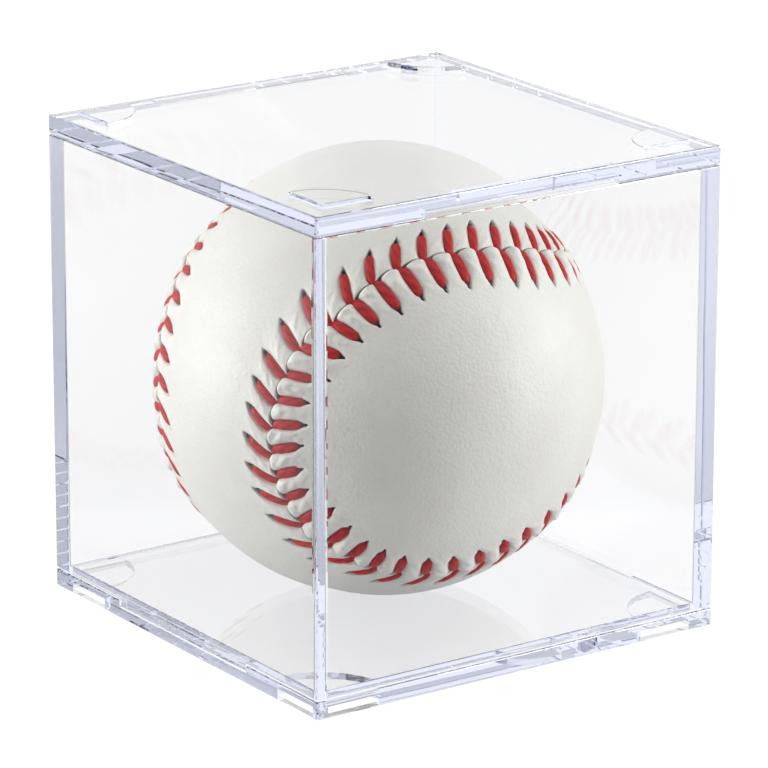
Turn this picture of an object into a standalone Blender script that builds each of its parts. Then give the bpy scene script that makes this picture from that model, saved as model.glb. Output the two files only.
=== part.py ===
"""Baseball display case: a clear moulded cube that comes apart in three, with a sewn ball inside.

The case is a base plate, a four-walled sleeve and a lid. Flat tabs on the sleeve's two ends
drop into notches in the plates. The lid carries four corner pads, and the base has matching
recesses, so that one case stacks on another. The ball is built as a real one is: a cork
centre, two rubber cups and a ring, a rubber jacket, wound yarn, two leather panels and thread.
Lengths are in metres, +Z is up, and the origin is the middle of the base's underside.
"""

import math

import bmesh
import bpy
import numpy as np
from mathutils import Euler, Vector

# Case. Its chamber is worked out below from the ball and these clearances
BASE_THICKNESS = 0.00305
LID_THICKNESS = 0.00310
WALL_THICKNESS = 0.00275
BALL_SIDE_CLEARANCE = 0.00006
BALL_HEADROOM = 0.00229
CORNER_ROUND = 0.0005
INNER_CORNER_ROUND = 0.0004
EDGE_ROUND = 0.00025
FIT_GAP = 0.0003

# Raised land on the base, which plugs into the sleeve and carries the ball
LAND_HEIGHT = 0.0009
LAND_EDGE_ROUND = 0.00015

# Tabs on the sleeve's ends and the notches that they drop into
TAB_LENGTH = 0.0384
TAB_HEIGHT = 0.0012
TAB_OUTER_INSET = 0.00012
TAB_INNER_INSET = 0.00015

# Corner pads on the lid, and the recesses under the base that fit over them
PAD_CORNER_INSET = 0.0037
PAD_RADIUS = 0.0097
PAD_HEIGHT = 0.0008
PAD_EDGE_ROUND = 0.00015

# Ball, from the outside in
BALL_RADIUS = 0.0370
LEATHER_THICKNESS = 0.00125
CORK_RADIUS = 0.0103
RUBBER_CUP_THICKNESS = 0.0034
RUBBER_RING_HEIGHT = 0.0012
JACKET_THICKNESS = 0.0026
THREAD_WAY_RADIUS = 0.0006

# Seam: a closed curve with four lobes, and the stitches along it
SEAM_NECK_DEG = 24.04
SEAM_SWING_DEG = 23.13
STITCH_COUNT = 86
STITCH_PHASE_SHARE = 0.86
SEAM_GROOVE_WIDTH = 0.0012
CORD_WIDTH = 0.0006
CORD_DEPTH = 0.0005
STITCH_REACH = 0.0056
STITCH_LEAN = 0.0014
STITCH_WIDTH = 0.0015
STITCH_THICKNESS = 0.00034
STITCH_CLEARANCE = 0.0001

# How the ball lies in the case, as turns about X, Y and Z
BALL_TURN_DEG = (-94.33, 1.47, 95.23)

# Cuts run past the faces that they open by this much
CUT_OVERRUN = 0.0020

# Steps on round forms
CORNER_STEPS = 3
EDGE_STEPS = 2
PAD_STEPS = 14
PANEL_ROWS = 40
PANEL_COLUMNS = 12
WINDING_SEGMENTS = 24
CORE_SEGMENTS = 16
SEAM_SAMPLES = 4000

# A stitch leg, from the seam outwards: how far along, how wide and how thick
LEG_REACH_SHARES = (0.36, 0.76, 1.0)
LEG_WIDTH_SHARES = (1.0, 0.86, 0.24)
LEG_THICKNESS_SHARES = (1.0, 0.90, 0.35)
LEG_ROOT_WIDTH_SHARE = 0.60

# Sizes that follow from the ones above. The case is 80.5 mm wide and 83.6 mm high to its lid
STITCH_LOW_RADIUS = BALL_RADIUS + STITCH_CLEARANCE
THREAD_TOP_RADIUS = STITCH_LOW_RADIUS + STITCH_THICKNESS
INNER_HALF = THREAD_TOP_RADIUS + BALL_SIDE_CLEARANCE
HALF_WIDTH = INNER_HALF + WALL_THICKNESS
FLOOR_TOP = BASE_THICKNESS + LAND_HEIGHT
BALL_CENTRE_HEIGHT = FLOOR_TOP + FIT_GAP + BALL_RADIUS
LID_BOTTOM = BALL_CENTRE_HEIGHT + BALL_RADIUS + BALL_HEADROOM
LID_TOP = LID_BOTTOM + LID_THICKNESS
SLEEVE_BOTTOM = BASE_THICKNESS + FIT_GAP
SLEEVE_TOP = LID_BOTTOM - FIT_GAP
CUP_INNER_RADIUS = CORK_RADIUS + FIT_GAP
CUP_OUTER_RADIUS = CUP_INNER_RADIUS + RUBBER_CUP_THICKNESS
JACKET_INNER_RADIUS = CUP_OUTER_RADIUS + FIT_GAP
JACKET_OUTER_RADIUS = JACKET_INNER_RADIUS + JACKET_THICKNESS
WINDING_INNER_RADIUS = JACKET_OUTER_RADIUS + FIT_GAP
LEATHER_INNER_RADIUS = BALL_RADIUS - LEATHER_THICKNESS
WINDING_OUTER_RADIUS = LEATHER_INNER_RADIUS - FIT_GAP

CLEAR_PLASTIC = (0.90, 0.92, 0.96, 0.25)
LEATHER_WHITE = (0.80, 0.79, 0.75, 1.0)
THREAD_RED = (0.62, 0.03, 0.03, 1.0)
YARN_GREY = (0.55, 0.55, 0.52, 1.0)
CORK_BROWN = (0.42, 0.26, 0.13, 1.0)
RUBBER_BLACK = (0.02, 0.02, 0.02, 1.0)
RUBBER_RED = (0.45, 0.05, 0.03, 1.0)
CLEAR_ROUGHNESS = 0.05
LEATHER_ROUGHNESS = 0.55
THREAD_ROUGHNESS = 0.7
MATT_ROUGHNESS = 0.9
RUBBER_ROUGHNESS = 0.6


def clear_scene():
    for item in list(bpy.data.objects):
        bpy.data.objects.remove(item, do_unlink=True)


def make_material(name, colour, roughness):
    material = bpy.data.materials.new(name)
    material.use_nodes = True
    shader = material.node_tree.nodes["Principled BSDF"]
    shader.inputs["Base Color"].default_value = colour
    shader.inputs["Roughness"].default_value = roughness
    shader.inputs["Metallic"].default_value = 0.0
    shader.inputs["Alpha"].default_value = colour[3]
    return material


def make_object(name, points, faces, material=None, parent=None):
    """Make one closed mesh object with its faces pointing out."""
    mesh = bpy.data.meshes.new(name)
    mesh.from_pydata([tuple(p) for p in points], [], faces)
    work = bmesh.new()
    work.from_mesh(mesh)
    bmesh.ops.recalc_face_normals(work, faces=work.faces)
    work.to_mesh(mesh)
    work.free()
    item = bpy.data.objects.new(name, mesh)
    bpy.context.scene.collection.objects.link(item)
    if material:
        mesh.materials.append(material)
    if parent:
        item.parent = parent
    return item


def shade_round(item, angle_deg=35.0):
    item.data.shade_smooth()
    item.data.set_sharp_from_angle(angle=math.radians(angle_deg))


def add_boolean(item, other, operation):
    """Join or cut with another solid, which stays in the file as a hidden guide."""
    other.hide_render = True
    other.display_type = "WIRE"
    step = item.modifiers.new(f"{operation.lower()}_{other.name}", "BOOLEAN")
    step.operation = operation
    step.solver = "EXACT"
    step.object = other


def rounded_square(half, radius, steps):
    """Outline of a square with round corners, anticlockwise from the right-hand side."""
    points = []
    centre = half - radius
    for corner in range(4):
        start = corner * math.pi / 2
        cx = centre * (1 if corner in (0, 3) else -1)
        cy = centre * (1 if corner in (0, 1) else -1)
        for step in range(steps + 1):
            angle = start + step * math.pi / 2 / steps
            points.append((cx + radius * math.cos(angle), cy + radius * math.sin(angle)))
    return points


def quarter_disc(corner, radius, inset, side_x, side_y, steps):
    """Outline of a quarter disc whose square corner points at the case's corner."""
    arc_radius = radius - inset
    lean = math.asin(inset / arc_radius)
    points = [(side_x * (corner - inset), side_y * (corner - inset))]
    for step in range(steps + 1):
        angle = lean + (math.pi / 2 - 2 * lean) * step / steps
        x = corner - arc_radius * math.sin(angle)
        y = corner - arc_radius * math.cos(angle)
        points.append((side_x * x, side_y * y))
    return points


def loft(rings, closed=False):
    """Faces that join equal rings in order, with flat ends, or back to the first ring."""
    count = len(rings[0])
    points = [point for ring in rings for point in ring]
    faces = []
    last = len(rings) if closed else len(rings) - 1
    for row in range(last):
        here = row * count
        there = ((row + 1) % len(rings)) * count
        for step in range(count):
            turn = (step + 1) % count
            faces.append((here + step, here + turn, there + turn, there + step))
    if not closed:
        faces.append(tuple(reversed(range(count))))
        faces.append(tuple((len(rings) - 1) * count + step for step in range(count)))
    return points, faces


def edge_levels(low, high, low_round, high_round):
    """Heights and insets of the rings of a slab whose edges are rounded over."""
    levels = []
    for step in range(EDGE_STEPS + 1):
        angle = math.pi / 2 * step / EDGE_STEPS
        levels.append((low + low_round * (1 - math.cos(angle)), low_round * (1 - math.sin(angle))))
    for step in range(EDGE_STEPS + 1):
        angle = math.pi / 2 * step / EDGE_STEPS
        levels.append((high - high_round * (1 - math.sin(angle)), high_round * (1 - math.cos(angle))))
    return levels


def square_slab(name, half, corner_round, low, high, edge_round, material=None):
    """A square plate with round corners and softened edges, top and bottom."""
    rings = []
    for height, inset in edge_levels(low, high, edge_round, edge_round):
        outline = rounded_square(half - inset, corner_round - inset, CORNER_STEPS)
        rings.append([(x, y, height) for x, y in outline])
    return make_object(name, *loft(rings), material)


def box_guide(name, low, high):
    """A plain box between two corners, used to cut or to join."""
    rings = []
    for height in (low[2], high[2]):
        rings.append([(low[0], low[1], height), (high[0], low[1], height),
                      (high[0], high[1], height), (low[0], high[1], height)])
    return make_object(name, *loft(rings))


def corner_guides(prefix, corner, radius, low, high, high_round):
    """Four quarter discs, one for each corner of the case."""
    guides = []
    for index, (side_x, side_y) in enumerate(((1, 1), (-1, 1), (-1, -1), (1, -1))):
        rings = []
        levels = [(low, 0.0)]
        for step in range(EDGE_STEPS + 1):
            angle = math.pi / 2 * step / EDGE_STEPS
            rise = high_round * (1 - math.sin(angle))
            levels.append((high - rise, high_round * (1 - math.cos(angle))))
        if high_round == 0:
            levels = [(low, 0.0), (high, 0.0)]
        for height, inset in levels:
            outline = quarter_disc(corner, radius, inset, side_x, side_y, PAD_STEPS)
            rings.append([(x, y, height) for x, y in outline])
        guides.append(make_object(f"{prefix}_{index + 1}", *loft(rings)))
    return guides


def edge_notches(prefix, along_x, low, high, length, depth):
    """Two boxes that cut the same slot into opposite edges of a plate."""
    guides = []
    half = length / 2
    near = HALF_WIDTH - depth
    far = HALF_WIDTH + CUT_OVERRUN
    for index, side in enumerate((-1, 1)):
        edge = sorted((side * near, side * far))
        if along_x:
            corners = (-half, edge[0], low), (half, edge[1], high)
        else:
            corners = (edge[0], -half, low), (edge[1], half, high)
        guides.append(box_guide(f"{prefix}_{index + 1}", *corners))
    return guides


def sleeve_tabs(prefix, along_x, low, high):
    """Two tabs that stand on opposite walls, a little inside both of their faces."""
    guides = []
    half = TAB_LENGTH / 2
    near = INNER_HALF + TAB_INNER_INSET
    far = HALF_WIDTH - TAB_OUTER_INSET
    for index, side in enumerate((-1, 1)):
        edge = sorted((side * near, side * far))
        if along_x:
            corners = (-half, edge[0], low), (half, edge[1], high)
        else:
            corners = (edge[0], -half, low), (edge[1], half, high)
        guides.append(box_guide(f"{prefix}_{index + 1}", *corners))
    return guides


def build_base(material):
    """Base plate: a raised land, two notches for the sleeve's tabs and four recesses below."""
    base = square_slab("base", HALF_WIDTH, CORNER_ROUND, 0.0, BASE_THICKNESS, EDGE_ROUND, material)
    land = square_slab("base_land_guide", INNER_HALF - FIT_GAP, INNER_CORNER_ROUND,
                       BASE_THICKNESS / 2, FLOOR_TOP, LAND_EDGE_ROUND)
    add_boolean(base, land, "UNION")
    notch_low = BASE_THICKNESS - TAB_HEIGHT
    notch_high = BASE_THICKNESS + LAND_HEIGHT / 2
    notch_length = TAB_LENGTH + 2 * FIT_GAP
    for guide in edge_notches("base_notch_guide", False, notch_low, notch_high,
                              notch_length, WALL_THICKNESS + FIT_GAP / 2):
        add_boolean(base, guide, "DIFFERENCE")
    corner = HALF_WIDTH - PAD_CORNER_INSET + FIT_GAP
    for guide in corner_guides("base_recess_guide", corner, PAD_RADIUS + 2 * FIT_GAP,
                               -CUT_OVERRUN, PAD_HEIGHT + FIT_GAP, 0.0):
        add_boolean(base, guide, "DIFFERENCE")
    shade_round(base)
    return base


def build_sleeve(material):
    """Four walls moulded as one open tube, with two tabs on each end."""
    levels = edge_levels(SLEEVE_BOTTOM, SLEEVE_TOP, EDGE_ROUND, EDGE_ROUND)
    rings = []
    for height, inset in levels:
        outline = rounded_square(HALF_WIDTH - inset, CORNER_ROUND - inset, CORNER_STEPS)
        rings.append([(x, y, height) for x, y in outline])
    for height in (SLEEVE_TOP, SLEEVE_BOTTOM):
        outline = rounded_square(INNER_HALF, INNER_CORNER_ROUND, CORNER_STEPS)
        rings.append([(x, y, height) for x, y in outline])
    sleeve = make_object("wall_sleeve", *loft(rings, closed=True), material)
    upper = sleeve_tabs("upper_tab_guide", True, SLEEVE_TOP - TAB_HEIGHT, SLEEVE_TOP + TAB_HEIGHT)
    lower = sleeve_tabs("lower_tab_guide", False, SLEEVE_BOTTOM - TAB_HEIGHT,
                        SLEEVE_BOTTOM + TAB_HEIGHT)
    for guide in upper + lower:
        add_boolean(sleeve, guide, "UNION")
    shade_round(sleeve)
    return sleeve


def build_lid(material):
    """Lid plate: two notches for the sleeve's tabs, and four stacking pads on top."""
    lid = square_slab("lid", HALF_WIDTH, CORNER_ROUND, LID_BOTTOM, LID_TOP, EDGE_ROUND, material)
    corner = HALF_WIDTH - PAD_CORNER_INSET
    for guide in corner_guides("lid_pad_guide", corner, PAD_RADIUS,
                               LID_TOP - LID_THICKNESS / 2, LID_TOP + PAD_HEIGHT, PAD_EDGE_ROUND):
        add_boolean(lid, guide, "UNION")
    notch_length = TAB_LENGTH + 2 * FIT_GAP
    for guide in edge_notches("lid_notch_guide", True, LID_BOTTOM - CUT_OVERRUN,
                              LID_BOTTOM + TAB_HEIGHT, notch_length, WALL_THICKNESS + FIT_GAP / 2):
        add_boolean(lid, guide, "DIFFERENCE")
    shade_round(lid)
    return lid


def arc(radius, start_deg, end_deg, steps):
    """Points of an arc in a profile, where 90 degrees is the top of the turning axis."""
    points = []
    for step in range(steps + 1):
        angle = math.radians(start_deg + (end_deg - start_deg) * step / steps)
        points.append((radius * math.cos(angle), radius * math.sin(angle)))
    return points


def turned(name, profile, segments, material, parent):
    """Turn an open profile about Z. Its first and last points lie on the axis."""
    points = [(0.0, 0.0, profile[0][1])]
    inner = profile[1:-1]
    for radius, height in inner:
        for step in range(segments):
            angle = 2 * math.pi * step / segments
            points.append((radius * math.cos(angle), radius * math.sin(angle), height))
    points.append((0.0, 0.0, profile[-1][1]))
    last = len(points) - 1
    faces = []
    for step in range(segments):
        turn = (step + 1) % segments
        faces.append((0, 1 + step, 1 + turn))
        end = 1 + (len(inner) - 1) * segments
        faces.append((last, end + turn, end + step))
        for row in range(len(inner) - 1):
            here = 1 + row * segments
            there = here + segments
            faces.append((here + step, there + step, there + turn, here + turn))
    item = make_object(name, points, faces, material, parent)
    shade_round(item)
    return item


def turned_shell(name, inner_radius, outer_radius, segments, material, parent):
    """A hollow sphere with a narrow way in at the top, where the yarn's end is drawn through."""
    rows = segments // 2
    outer_edge = math.degrees(math.acos(THREAD_WAY_RADIUS / outer_radius))
    inner_edge = math.degrees(math.acos(THREAD_WAY_RADIUS / inner_radius))
    profile = arc(outer_radius, -90.0, outer_edge, rows)
    profile += arc(inner_radius, inner_edge, -90.0, rows)
    profile[0] = (0.0, -outer_radius)
    profile[-1] = (0.0, -inner_radius)
    return turned(name, profile, segments, material, parent)


def build_core(materials, parent):
    """Cork centre, its two rubber cups with a ring between them, the jacket and the yarn."""
    rows = CORE_SEGMENTS // 2
    cork = arc(CORK_RADIUS, -90.0, 90.0, rows)
    cork[0] = (0.0, -CORK_RADIUS)
    cork[-1] = (0.0, CORK_RADIUS)
    turned("cork_center", cork, CORE_SEGMENTS, materials["cork"], parent)
    rim = RUBBER_RING_HEIGHT / 2 + FIT_GAP
    for name, side in (("rubber_cup_upper", 1), ("rubber_cup_lower", -1)):
        outer_rim = math.degrees(math.asin(rim / CUP_OUTER_RADIUS))
        inner_rim = math.degrees(math.asin(rim / CUP_INNER_RADIUS))
        profile = arc(CUP_OUTER_RADIUS, 90.0, outer_rim, rows // 2)
        profile += arc(CUP_INNER_RADIUS, inner_rim, 90.0, rows // 2)
        profile[0] = (0.0, CUP_OUTER_RADIUS)
        profile[-1] = (0.0, CUP_INNER_RADIUS)
        profile = [(radius, side * height) for radius, height in profile]
        turned(name, profile, CORE_SEGMENTS, materials["black_rubber"], parent)
    half_ring = RUBBER_RING_HEIGHT / 2
    rings = []
    for radius, height in ((CUP_OUTER_RADIUS, -half_ring), (CUP_OUTER_RADIUS, half_ring),
                           (CUP_INNER_RADIUS, half_ring), (CUP_INNER_RADIUS, -half_ring)):
        rings.append([(radius * math.cos(2 * math.pi * step / CORE_SEGMENTS),
                       radius * math.sin(2 * math.pi * step / CORE_SEGMENTS), height)
                      for step in range(CORE_SEGMENTS)])
    ring = make_object("rubber_ring", *loft(rings, closed=True), materials["red_rubber"], parent)
    shade_round(ring)
    turned_shell("rubber_jacket", JACKET_INNER_RADIUS, JACKET_OUTER_RADIUS,
                 CORE_SEGMENTS, materials["red_rubber"], parent)
    turned_shell("yarn_winding", WINDING_INNER_RADIUS, WINDING_OUTER_RADIUS,
                 WINDING_SEGMENTS, materials["yarn"], parent)


def seam_direction(turn):
    """Unit vector to the seam at a turn from 0 to 4 pi, in the ball's own frame."""
    neck = math.radians(SEAM_NECK_DEG)
    swing = math.radians(SEAM_SWING_DEG)
    tilt = math.pi / 2 - (math.pi / 2 - neck) * np.cos(turn)
    round_angle = turn / 2 + swing * np.sin(2 * turn)
    return np.stack([np.sin(tilt) * np.cos(round_angle),
                     np.sin(tilt) * np.sin(round_angle), np.cos(tilt)], axis=-1)


def unit(vectors):
    return vectors / np.linalg.norm(vectors, axis=-1, keepdims=True)


def seam_frames(turns):
    """Directions to the seam, along it and across it."""
    nudge = 2 * math.pi / SEAM_SAMPLES
    out = seam_direction(turns)
    along = unit(seam_direction(turns + nudge) - seam_direction(turns - nudge))
    across = np.cross(out, along)
    return out, along, across


def turns_at_shares(shares):
    """Turns at which given shares of the seam's length have gone by."""
    turns = np.linspace(0.0, 4 * math.pi, SEAM_SAMPLES + 1)
    points = seam_direction(turns)
    steps = np.linalg.norm(np.diff(points, axis=0), axis=1)
    gone = np.concatenate([[0.0], np.cumsum(steps)])
    wanted = np.mod(np.asarray(shares), 1.0) * gone[-1]
    return np.interp(wanted, gone, turns)


def seam_length():
    turns = np.linspace(0.0, 4 * math.pi, SEAM_SAMPLES + 1)
    points = seam_direction(turns) * BALL_RADIUS
    return float(np.linalg.norm(np.diff(points, axis=0), axis=1).sum())


def build_panel(name, material, parent, swapped):
    """One leather panel. Rows cross it from seam to seam, and meet in a point at both tips."""
    half_groove = SEAM_GROOVE_WIDTH / 2 / BALL_RADIUS
    row_angles = np.linspace(-math.pi, math.pi, PANEL_ROWS + 1)
    rows = []
    for row_turn in row_angles:
        out, along, across = seam_frames(np.array([row_turn]))
        inside = across[0]
        edge = unit(out[0] * math.cos(half_groove) + inside * math.sin(half_groove))
        if abs(abs(row_turn) - math.pi) < math.pi / PANEL_ROWS / 2:
            rows.append([edge])
            continue
        other = edge * np.array([-1.0, 1.0, 1.0])
        span = math.acos(float(np.clip(edge @ other, -1.0, 1.0)))
        row = []
        for column in range(PANEL_COLUMNS + 1):
            share = column / PANEL_COLUMNS
            first = math.sin((1 - share) * span) / math.sin(span)
            second = math.sin(share * span) / math.sin(span)
            row.append(edge * first + other * second)
        rows.append(row)
    points = []
    starts = []
    for radius in (BALL_RADIUS, LEATHER_INNER_RADIUS):
        level = []
        for row in rows:
            level.append(len(points))
            points.extend(direction * radius for direction in row)
        starts.append(level)
    faces = []
    for level in starts:
        for index in range(PANEL_ROWS):
            here, there = level[index], level[index + 1]
            for column in range(PANEL_COLUMNS):
                if index == 0:
                    faces.append((here, there + column, there + column + 1))
                elif index == PANEL_ROWS - 1:
                    faces.append((here + column, there, here + column + 1))
                else:
                    faces.append((here + column, there + column,
                                  there + column + 1, here + column + 1))
    outer, inner = starts
    for side in (0, PANEL_COLUMNS):
        for index in range(PANEL_ROWS):
            here = side if index > 0 else 0
            there = side if index < PANEL_ROWS - 1 else 0
            faces.append((outer[index] + here, outer[index + 1] + there,
                          inner[index + 1] + there, inner[index] + here))
    if swapped:
        points = [np.array([p[1], p[0], -p[2]]) for p in points]
    panel = make_object(name, points, faces, material, parent)
    shade_round(panel)
    return panel


def on_ball(frame, sideways, forward, radius):
    """A point near the seam: so far across it, so far along it, and so far from the centre."""
    out, along, across = frame
    angle = sideways / BALL_RADIUS
    direction = out * math.cos(angle) + across * math.sin(angle)
    direction = unit(direction + along * (forward / BALL_RADIUS))
    return direction * radius


def build_thread(material, parent):
    """The red thread: a cord that lies in the seam, with two legs for each stitch."""
    low = BALL_RADIUS - CORD_DEPTH
    middle = STITCH_LOW_RADIUS
    high = THREAD_TOP_RADIUS
    half_cord = CORD_WIDTH / 2
    pitch = seam_length() / STITCH_COUNT
    root = STITCH_WIDTH * LEG_ROOT_WIDTH_SHARE / 2
    points = []
    faces = []
    section = ((-half_cord, low), (-half_cord, middle), (-half_cord, high),
               (half_cord, high), (half_cord, middle), (half_cord, low))
    size = len(section)
    frames = []
    for stitch in range(STITCH_COUNT):
        for edge in (-root, root):
            share = (stitch + STITCH_PHASE_SHARE + edge / pitch) / STITCH_COUNT
            out, along, across = seam_frames(turns_at_shares([share]))
            frame = (out[0], along[0], across[0])
            frames.append(frame)
            points.extend(on_ball(frame, side, 0.0, radius) for side, radius in section)
    total = len(frames)
    for index in range(total):
        here = index * size
        there = ((index + 1) % total) * size
        for step in range(size):
            turn = (step + 1) % size
            leg_root = index % 2 == 0 and step in (1, 3)
            if not leg_root:
                faces.append((here + step, here + turn, there + turn, there + step))
    for stitch in range(STITCH_COUNT):
        first = 2 * stitch * size
        second = first + size
        share = (stitch + STITCH_PHASE_SHARE) / STITCH_COUNT
        out, along, across = seam_frames(turns_at_shares([share]))
        frame = (out[0], along[0], across[0])
        for side, lower, upper in ((-1, 1, 2), (1, 4, 3)):
            ring = [first + lower, second + lower, second + upper, first + upper]
            for reach, width, thick in zip(LEG_REACH_SHARES, LEG_WIDTH_SHARES,
                                           LEG_THICKNESS_SHARES):
                sideways = side * (half_cord + (STITCH_REACH - half_cord) * reach)
                forward = STITCH_LEAN * reach
                half = STITCH_WIDTH * width / 2
                top = middle + STITCH_THICKNESS * thick
                start = len(points)
                for ahead, radius in ((-half, middle), (half, middle), (half, top), (-half, top)):
                    points.append(on_ball(frame, sideways, forward + ahead, radius))
                new_ring = [start, start + 1, start + 2, start + 3]
                for step in range(4):
                    turn = (step + 1) % 4
                    faces.append((ring[step], ring[turn], new_ring[turn], new_ring[step]))
                ring = new_ring
            faces.append(tuple(ring))
    thread = make_object("seam_thread", points, faces, material, parent)
    shade_round(thread, 50.0)
    return thread


def build():
    clear_scene()
    clear = {name: make_material(f"{name}_clear_plastic", CLEAR_PLASTIC, CLEAR_ROUGHNESS)
             for name in ("base", "sleeve", "lid")}
    materials = {
        "cork": make_material("cork", CORK_BROWN, MATT_ROUGHNESS),
        "black_rubber": make_material("black_rubber", RUBBER_BLACK, RUBBER_ROUGHNESS),
        "red_rubber": make_material("red_rubber", RUBBER_RED, RUBBER_ROUGHNESS),
        "yarn": make_material("wound_yarn", YARN_GREY, MATT_ROUGHNESS),
    }
    leather = make_material("white_leather", LEATHER_WHITE, LEATHER_ROUGHNESS)
    thread = make_material("red_thread", THREAD_RED, THREAD_ROUGHNESS)
    build_base(clear["base"])
    build_sleeve(clear["sleeve"])
    build_lid(clear["lid"])
    ball = bpy.data.objects.new("ball_centre", None)
    bpy.context.scene.collection.objects.link(ball)
    ball.location = Vector((0.0, 0.0, BALL_CENTRE_HEIGHT))
    ball.rotation_euler = Euler([math.radians(turn) for turn in BALL_TURN_DEG], "XYZ")
    build_core(materials, ball)
    build_panel("cover_panel_one", leather, ball, False)
    build_panel("cover_panel_two", leather, ball, True)
    build_thread(thread, ball)
    print(f"seam {seam_length() * 1000:.1f} mm long, {STITCH_COUNT} double stitches, "
          f"{seam_length() / STITCH_COUNT * 1000:.2f} mm apart")


build()
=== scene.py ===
# %% [markdown]
# # A baseball in its clear display case
#
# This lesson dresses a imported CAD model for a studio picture. The real object is a square box
# of moulded clear plastic, in three loose parts, with one leather baseball inside. The CAD
# model already has the right sizes and joints, so the three plastic parts stay as they are and
# only get a material. The ball's leather and its stitched thread are modelled afresh, because
# their looks come from relief that a light CAD solid can't hold.
#
# The frame comes first: it brings in the CAD objects, and each new piece is placed by them.

# %% Load the frame
import math

import bmesh
import bpy
import numpy as np
from mathutils import Euler, Matrix, Vector


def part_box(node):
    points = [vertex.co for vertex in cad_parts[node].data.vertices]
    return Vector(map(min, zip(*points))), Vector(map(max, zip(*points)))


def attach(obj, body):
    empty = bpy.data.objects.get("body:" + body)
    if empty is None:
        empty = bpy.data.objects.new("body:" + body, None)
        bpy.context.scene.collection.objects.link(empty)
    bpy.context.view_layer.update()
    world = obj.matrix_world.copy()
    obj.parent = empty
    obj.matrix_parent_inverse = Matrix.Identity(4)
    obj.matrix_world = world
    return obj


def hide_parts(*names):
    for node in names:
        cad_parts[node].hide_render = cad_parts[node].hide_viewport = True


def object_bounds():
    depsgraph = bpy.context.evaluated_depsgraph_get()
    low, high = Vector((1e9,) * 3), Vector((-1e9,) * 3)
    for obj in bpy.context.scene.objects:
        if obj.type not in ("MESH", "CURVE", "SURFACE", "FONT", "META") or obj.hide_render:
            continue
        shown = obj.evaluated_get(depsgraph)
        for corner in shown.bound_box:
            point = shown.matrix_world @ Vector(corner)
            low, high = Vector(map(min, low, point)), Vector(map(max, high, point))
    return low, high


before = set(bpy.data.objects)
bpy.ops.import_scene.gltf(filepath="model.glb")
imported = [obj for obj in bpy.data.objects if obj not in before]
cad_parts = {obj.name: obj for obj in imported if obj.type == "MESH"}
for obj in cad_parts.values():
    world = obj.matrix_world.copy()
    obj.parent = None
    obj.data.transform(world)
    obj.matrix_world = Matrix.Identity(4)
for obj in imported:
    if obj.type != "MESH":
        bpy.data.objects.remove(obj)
MM = 0.001
cad_low, cad_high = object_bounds()
print("CAD box in mm:", [round(side / MM, 2) for side in cad_high - cad_low])

# %% [markdown]
# ## The camera
#
# A product photographer stands well back and uses a long lens, so that the box keeps nearly
# parallel edges. The camera's place was worked out from the corners of the case in the
# photograph. A camera looks along its own -Z, with +X to the right of the picture.

# %% Camera
CAMERA_PLACE = Vector((-0.47080, -0.67699, 0.29282))
PICTURE_RIGHT = Vector((0.82087399, -0.571107, 0.0016417))
PICTURE_DOWN = Vector((-0.1664718, -0.24202407, -0.95588257))
SENSOR_WIDTH_MM = 36.0
PICTURE_PIXELS = 768
FOCAL_PIXELS = 5113.7
VIEW_END = 30.0

camera_data = bpy.data.cameras.new("photo_camera")
camera_data.sensor_width = SENSOR_WIDTH_MM
camera_data.lens = SENSOR_WIDTH_MM * FOCAL_PIXELS / PICTURE_PIXELS
camera_data.clip_end = VIEW_END
camera = bpy.data.objects.new("photo_camera", camera_data)
turn_columns = (PICTURE_RIGHT, -PICTURE_DOWN, PICTURE_RIGHT.cross(-PICTURE_DOWN))
camera.matrix_world = Matrix.Translation(CAMERA_PLACE) @ Matrix(turn_columns).transposed().to_4x4()
bpy.context.scene.collection.objects.link(camera)
bpy.context.scene.camera = camera
print("lens in mm:", round(camera_data.lens, 1))

# %% [markdown]
# ## Small helpers for materials
#
# Every material below is a few nodes. These helpers add one node and wire it in one line, so
# that the recipes stay short enough to read.

# %% Node helpers
WHITE = (1.0, 1.0, 1.0, 1.0)
BLACK = (0.0, 0.0, 0.0, 1.0)
# a Mix node keeps its colour sockets behind those for numbers and vectors
MIX_SHARE, MIX_FIRST, MIX_SECOND, MIX_RESULT = 0, 6, 7, 2


def place(tree, kind, inputs=None, **settings):
    """Adds one node: settings go on the node itself, inputs on its sockets."""
    node = tree.nodes.new(kind)
    for name, value in settings.items():
        setattr(node, name, value)
    for name, value in (inputs or {}).items():
        wire(tree, value, node.inputs[name])
    return node


def wire(tree, value, socket):
    """Links value to socket if it is an output, and otherwise types it in."""
    if isinstance(value, bpy.types.NodeSocket):
        tree.links.new(value, socket)
    else:
        socket.default_value = value


def maths(tree, operation, first, second=0.0):
    node = place(tree, "ShaderNodeMath", operation=operation)
    wire(tree, first, node.inputs[0])
    wire(tree, second, node.inputs[1])
    return node.outputs[0]


def times(tree, first, second):
    return maths(tree, "MULTIPLY", first, second)


def blend(tree, share, first, second, how="MIX"):
    """Mixes two colours by a share."""
    node = place(tree, "ShaderNodeMix", data_type="RGBA", blend_type=how)
    wire(tree, share, node.inputs[MIX_SHARE])
    wire(tree, first, node.inputs[MIX_FIRST])
    wire(tree, second, node.inputs[MIX_SECOND])
    return node.outputs[MIX_RESULT]


def stretch(tree, value, low, high, new_low=0.0, new_high=1.0):
    """Maps low..high to new_low..new_high and keeps the result between them."""
    ends = {"Value": value, "From Min": low, "From Max": high, "To Min": new_low, "To Max": new_high}
    return place(tree, "ShaderNodeMapRange", ends).outputs[0]


def own_place(tree):
    """Where a point lies in its object's own frame, so that a pattern moves with the piece."""
    return place(tree, "ShaderNodeTexCoord").outputs["Object"]


def noise_at(tree, where, scale, detail):
    """Soft noise, 0 to 1, with so many cells to a unit of length."""
    inputs = {"Vector": where, "Scale": scale, "Detail": detail}
    return place(tree, "ShaderNodeTexNoise", inputs).outputs[0]


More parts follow.
